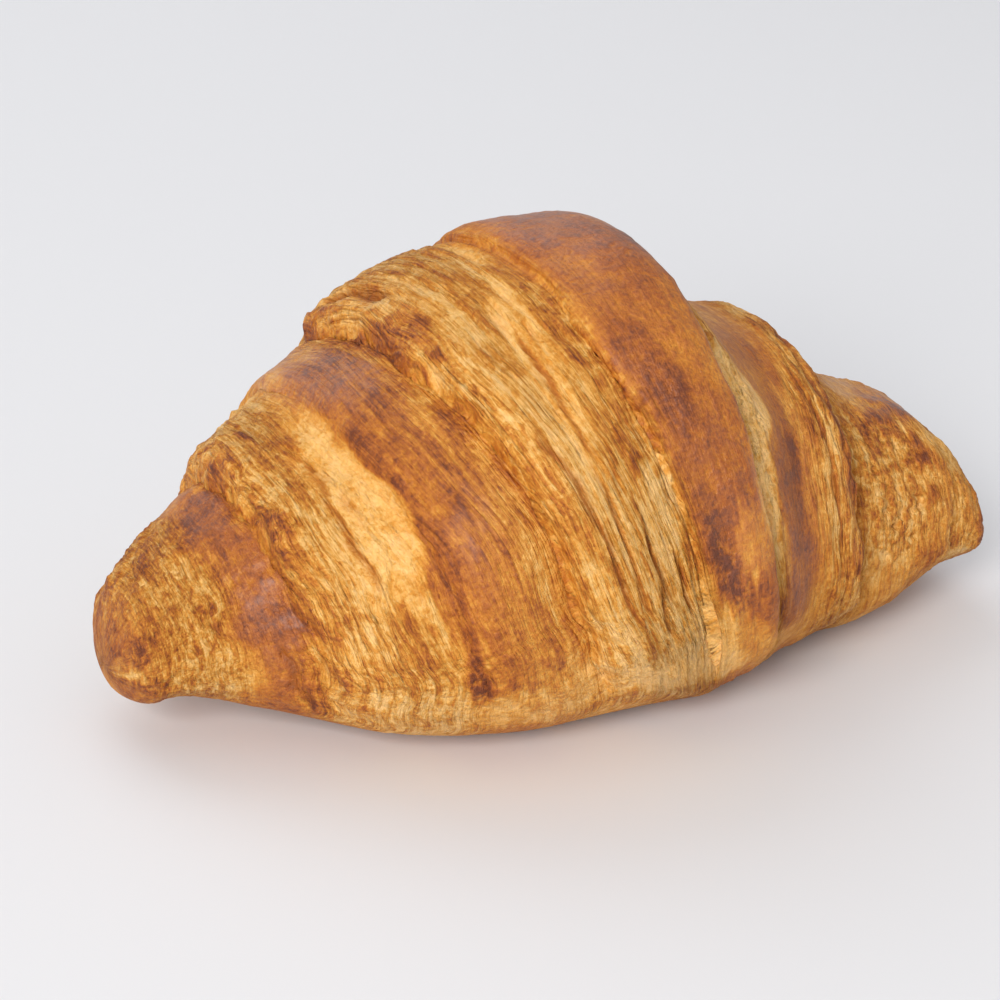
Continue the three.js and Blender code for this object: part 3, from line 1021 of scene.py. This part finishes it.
def dough_axes(graph: Graph, taken: bpy.types.bpy_prop_collection) -> tuple[Socket, Socket]:
    """A place on the dough, as a count across the wraps and a count of lengths round them."""
    along, around, _ = graph.parts(taken["Place"])
    across = graph.times(along, taken["Per Centimetre"])
    return across, graph.math("DIVIDE", around, taken["Length"])


def dough_streaks_group() -> Tree:
    """A group of fine streaks that run round the wraps.

    Returns:
        The group: it takes a place on the dough, how many streaks there are to a
        centimetre and their length, and gives a value from 0 to 1.
    """
    graph, taken, given = open_group("dough_streaks", ("Per Centimetre", "Length"), ("Value",))
    place = graph.flat_place(*dough_axes(graph, taken))
    numbers = {"Scale": 1.0, "Detail": 3.0, "Roughness": 0.6, "Distortion": 0.25}
    noise = graph.texture("ShaderNodeTexNoise", place, numbers, noise_dimensions="2D")
    graph.join(graph.span(noise.outputs["Fac"], 0.32, 0.68, 0.0, 1.0), given["Value"])
    return graph.tree


def dough_flakes_group() -> Tree:
    """A group of small overlapping flakes that lie round the wraps.

    Returns:
        The group: it takes a place on the dough, how many flakes there are to a
        centimetre and their length, and gives each flake's own shade from 0 to 1
        and a height that tilts across it.
    """
    sizes, results = ("Per Centimetre", "Length"), ("Shade", "Height")
    graph, taken, given = open_group("dough_flakes", sizes, results)
    across, around = dough_axes(graph, taken)
    plain = graph.flat_place(across, around)
    numbers = {"Scale": 0.7, "Detail": 2.0}
    bend = graph.texture("ShaderNodeTexNoise", plain, numbers, noise_dimensions="2D")
    across = graph.plus(across, graph.times(bend.outputs["Fac"], 3.0))
    bent = graph.flat_place(across, around)
    cells = graph.texture("ShaderNodeTexVoronoi", bent, {"Scale": 1.0}, voronoi_dimensions="2D")
    shade = graph.parts(cells.outputs["Color"])[0]
    middle = graph.parts(cells.outputs["Position"])[0]
    tilt = graph.minus(across, middle)
    graph.join(shade, given["Shade"])
    graph.join(graph.plus(graph.times(shade, 0.6), graph.times(tilt, 0.5)), given["Height"])
    return graph.tree


def speckle_group() -> Tree:
    """A group of small round marks, such as blisters and sugar spots.

    Returns:
        The group: it takes a place in the object and a scale, and gives a value
        from 0 to 1.
    """
    graph, taken, given = open_group("speckle", ("Scale",), ("Value",))
    numbers = {"Scale": taken["Scale"], "Detail": 2.5, "Roughness": 0.65}
    noise = graph.texture("ShaderNodeTexNoise", taken["Place"], numbers)
    graph.join(graph.span(noise.outputs["Fac"], 0.3, 0.7, 0.0, 1.0), given["Value"])
    return graph.tree


@dataclass(frozen=True)
class CrustFinish:
    """The baked crust: a ramp from pale crumb to dark crust, streaked and speckled."""

    name: str = "baked_crust"
    ramp: tuple[tuple[float, tuple[float, float, float]], ...] = (
        (0.00, (0.90, 0.53, 0.185)),
        (0.20, (0.83, 0.45, 0.120)),
        (0.42, (0.68, 0.290, 0.036)),
        (0.62, (0.53, 0.175, 0.013)),
        (0.82, (0.36, 0.092, 0.008)),
        (1.00, (0.17, 0.037, 0.007)),
    )
    # Painted shade: the dark colour mixed into the cracks, the lip gaps and the deepest hollows.
    painted_shade_colour: tuple[float, float, float, float] = (0.36, 0.100, 0.008, 1.0)
    streak_sizes: tuple[tuple[float, float], ...] = ((7.0, 3.0), (17.0, 1.5), (40.0, 0.55))
    flake_sizes: tuple[tuple[float, float], ...] = ((8.0, 0.9), (19.0, 0.34), (34.0, 0.09))
    speckle_scales: tuple[float, ...] = (80.0, 420.0, 1300.0)
    roughness: float = 0.62
    relief_depth: float = 0.0009

    def ramp_node(self, graph: Graph, share: Socket) -> Socket:
        """The crust's colour for a share of baking.

        Args:
            graph: the material's graph.
            share: 0 for pale crumb, 1 for the darkest crust.

        Returns:
            The colour.
        """
        node = graph.add("ShaderNodeValToRGB")
        stops = node.color_ramp.elements
        while len(stops) < len(self.ramp):
            stops.new(0.5)
        for stop, (place, colour) in zip(stops, self.ramp):
            stop.position = place
            stop.color = (*colour, 1.0)
        graph.join(share, node.inputs["Fac"])
        return node.outputs["Color"]

    @staticmethod
    def pattern(graph: Graph, tree: Tree, place: Socket, *sizes: float) -> list[Socket]:
        """Places a node group that reads a place, and gives what the group gives."""
        node = graph.add("ShaderNodeGroup", node_tree=tree)
        for value, socket in zip((place, *sizes), node.inputs):
            graph.put(value, socket)
        return list(node.outputs)

    @staticmethod
    def swing(graph: Graph, value: object, strength: object, amount: float) -> Socket:
        """A 0 to 1 value as a swing about zero, times a strength and an amount."""
        return graph.times(graph.times(graph.minus(value, 0.5), strength), amount)

    def make(self, streaks: Tree, flakes: Tree, speckle: Tree) -> bpy.types.Material:
        """Builds the material.

        The bake attribute, moved by every colour mark, picks a colour from the
        ramp, and a dark colour is mixed in as painted shade in the cracks, the
        gaps under the lips and the deepest hollows. The height marks raise the surface.

        Args:
            streaks: the group of streaks round the wraps.
            flakes: the group of overlapping flakes.
            speckle: the group of small marks.

        Returns:
            The crust's material.
        """
        material, graph, shader = new_material(self.name)
        dough = graph.add("ShaderNodeUVMap", uv_map="Dough").outputs["UV"]
        place = graph.add("ShaderNodeTexCoord").outputs["Object"]
        bake, layers, stretch, glaze, pores = (graph.attribute(tone.value) for tone in Tone)
        painted_shade = graph.attribute("painted_shade")
        coarse, fine, hair = (
            self.pattern(graph, streaks, dough, *sizes)[0] for sizes in self.streak_sizes
        )
        shards, chips, crumbs = (
            self.pattern(graph, flakes, dough, *sizes) for sizes in self.flake_sizes
        )
        clouds, spots, grains = (
            self.pattern(graph, speckle, place, scale)[0] for scale in self.speckle_scales
        )
        # Painted shade: thin lines where the coarse streaks cross their middle are cut in as shallow
        # grooves and painted darker along them.
        lines = graph.span(graph.math("ABSOLUTE", graph.minus(coarse, 0.5)), 0.0, 0.10, 1.0, 0.0)
        streaky = graph.plus(graph.times(layers, 0.93), 0.07)
        streaky = graph.times(streaky, graph.minus(1.0, graph.times(stretch, 0.75)))
        crumbly = graph.plus(graph.times(layers, 0.8), 0.2)
        share, height = bake, 0.0
        colour_marks = (
            (coarse, streaky, 0.24), (fine, streaky, 0.34), (hair, streaky, 0.26),
            (lines, streaky, 0.12), (shards[0], layers, 0.18), (chips[0], streaky, 0.22),
            (crumbs[0], crumbly, 0.20), (clouds, 1.0, 0.20), (spots, 1.0, 0.18),
            (grains, 1.0, 0.20), (spots, pores, 0.6),
        )
        for value, strength, amount in colour_marks:
            share = graph.plus(share, self.swing(graph, value, strength, amount))
        height_marks = (
            (lines, streaky, -0.12), (coarse, streaky, 0.40), (fine, streaky, 0.40),
            (hair, streaky, 0.20), (shards[1], layers, 0.45), (chips[1], streaky, 0.35),
            (crumbs[1], crumbly, 0.22), (spots, 1.0, 0.30), (grains, 1.0, 0.14),
            (spots, pores, 0.8),
        )
        for value, strength, amount in height_marks:
            height = graph.plus(height, graph.times(graph.times(value, strength), amount))
        colour = self.ramp_node(graph, share)
        # Painted shade: the dark colour is mixed in along the cracks, under the lips and in the
        # deepest hollows.
        colour = graph.mix(graph.times(painted_shade, 0.7), colour, self.painted_shade_colour)
        graph.join(colour, shader.inputs["Base Color"])
        rough = graph.minus(self.roughness, graph.times(glaze, 0.16))
        rough = graph.plus(rough, graph.times(stretch, 0.1))
        rough = graph.plus(rough, self.swing(graph, spots, 1.0, 0.2))
        graph.join(rough, shader.inputs["Roughness"])
        coat = graph.times(glaze, graph.span(spots, 0.2, 0.8, 0.2, 0.7))
        graph.join(coat, shader.inputs["Coat Weight"])
        shader.inputs["Specular IOR Level"].default_value = 0.42
        shader.inputs["Coat Roughness"].default_value = 0.36
        shader.inputs["Subsurface Weight"].default_value = 0.06
        shader.inputs["Subsurface Radius"].default_value = (1.0, 0.45, 0.15)
        shader.inputs["Subsurface Scale"].default_value = 0.002
        bump = graph.add("ShaderNodeBump")
        bump.inputs["Strength"].default_value = 1.0
        bump.inputs["Distance"].default_value = self.relief_depth
        graph.join(height, bump.inputs["Height"])
        graph.join(bump.outputs["Normal"], shader.inputs["Normal"])
        return material


@dataclass(frozen=True)
class PaperFinish:
    """The pale matt surface of the floor and the sweep behind it."""

    name: str = "studio_paper"
    colour: tuple[float, float, float, float] = (0.80, 0.80, 0.815, 1.0)
    roughness: float = 0.85

    def make(self) -> bpy.types.Material:
        """Builds the material, which is plain all over."""
        material, _, shader = new_material(self.name)
        shader.inputs["Base Color"].default_value = self.colour
        shader.inputs["Roughness"].default_value = self.roughness
        shader.inputs["Specular IOR Level"].default_value = 0.2
        return material


# ---------------------------------------------------------------------------
# The studio
# ---------------------------------------------------------------------------


@dataclass(frozen=True)
class Lamp:
    """A square soft light that faces the croissant: its place and side in metres, and watts."""

    name: str
    place: tuple[float, float, float]
    side: float
    power: float
    colour: tuple[float, float, float]

    def hang(self, middle_height: float) -> bpy.types.Object:
        """Puts the light in the scene, turned towards the croissant's middle."""
        data = bpy.data.lights.new(self.name, "AREA")
        data.shape, data.size = "SQUARE", self.side
        data.energy, data.color = self.power, self.colour
        lamp = put_in_scene(self.name, data)
        lamp.location = self.place
        away = np.array(self.place) - np.array([0.0, 0.0, middle_height])
        lean = math.acos(away[2] / np.linalg.norm(away))
        lamp.rotation_euler = (lean, 0.0, math.atan2(away[1], away[0]) + math.pi / 2)
        return lamp


@dataclass
class Studio:
    """The floor sweep, the lights and the camera, in metres round the croissant's middle."""

    yaw: float = math.radians(-25.0)
    elevation: float = math.radians(23.0)
    distance: float = 0.4567
    aim_right: float = -0.00802
    aim_up: float = 0.02414
    lens: float = 100.0
    sensor: float = 36.0
    middle_height: float = 0.03
    lamps: tuple[Lamp, ...] = (
        Lamp("key_light", (-1.2, -1.35, 0.95), 0.8, 36.0, (1.0, 0.985, 0.97)),
        Lamp("rear_light", (-0.1, 0.9, 1.1), 1.1, 4.5, (0.97, 0.98, 1.0)),
    )
    sky: tuple[float, float, float, float] = (0.97, 0.98, 1.0, 1.0)
    sky_strength: float = 0.51
    spine_foot: np.ndarray = field(default_factory=lambda: np.zeros(3))

    def floor(self) -> bpy.types.Object:
        """A floor that sweeps up behind the croissant.

        Its profile is a straight run, a quarter circle and a straight rise, as
        one strip carried along X.
        """
        front, reach, radius, height, width = -3.0, 1.2, 0.8, 1.6, 6.0
        bend = np.linspace(0, math.pi / 2, 25)
        run_y = np.concatenate([[front], reach + radius * np.sin(bend), [reach + radius]])
        run_z = np.concatenate([[0.0], radius * (1 - np.cos(bend)), [radius + height]])
        x, y = np.meshgrid([-width / 2, width / 2], run_y, indexing="ij")
        z = np.broadcast_to(run_z, x.shape)
        vertices = np.stack([x, y, z], axis=-1).reshape(-1, 3)
        count = len(run_y)
        first = np.arange(count - 1)
        faces = np.stack([first, first + count, first + count + 1, first + 1], axis=-1)
        mesh = bpy.data.meshes.new("floor_sweep")
        mesh.from_pydata(vertices.tolist(), [], faces.tolist())
        mesh.update()
        mesh.shade_smooth()
        mesh.materials.append(PaperFinish().make())
        floor = put_in_scene("floor_sweep", mesh)
        return floor

    def light(self) -> None:
        """A soft key from the front left, a weak light behind and a pale sky."""
        for lamp in self.lamps:
            lamp.hang(self.middle_height)
        world = bpy.data.worlds.new("studio_air")
        world.use_nodes = True
        background = world.node_tree.nodes["Background"]
        background.inputs["Color"].default_value = self.sky
        background.inputs["Strength"].default_value = self.sky_strength
        bpy.context.scene.world = world
        bpy.context.scene.view_settings.view_transform = "Standard"

    def camera(self) -> bpy.types.Object:
        """The camera, looking down at the front from the left.

        It stands at a distance along the way back from its aim, which is moved
        right and up from the foot of the body's spine.
        """
        back = np.array([
            math.sin(self.yaw) * math.cos(self.elevation),
            -math.cos(self.yaw) * math.cos(self.elevation),
            math.sin(self.elevation),
        ])
        right = np.array([math.cos(self.yaw), math.sin(self.yaw), 0.0])
        up = np.cross(back, right)
        place = self.spine_foot + right * self.aim_right + up * self.aim_up + back * self.distance
        data = bpy.data.cameras.new("camera")
        data.lens = self.lens
        data.sensor_width = self.sensor
        camera = put_in_scene("camera", data)
        camera.location = place
        camera.rotation_euler = (math.pi / 2 - self.elevation, 0.0, self.yaw)
        bpy.context.scene.camera = camera
        return camera


def main() -> None:
    """Builds the croissant's crust, dresses it and sets the studio around it."""
    logging.basicConfig(level=logging.INFO, format="%(name)s: %(message)s")
    crust = Crust()
    piece = crust.build()
    finish = CrustFinish().make(dough_streaks_group(), dough_flakes_group(), speckle_group())
    piece.data.materials.append(finish)
    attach(piece, "root")
    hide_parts(crust.node)
    LOG.info("%s: %d faces", piece.name, len(piece.data.polygons))
    studio = Studio(spine_foot=crust.spine_foot)
    studio.floor()
    studio.light()
    studio.camera()


if __name__ == "__main__":
    main()
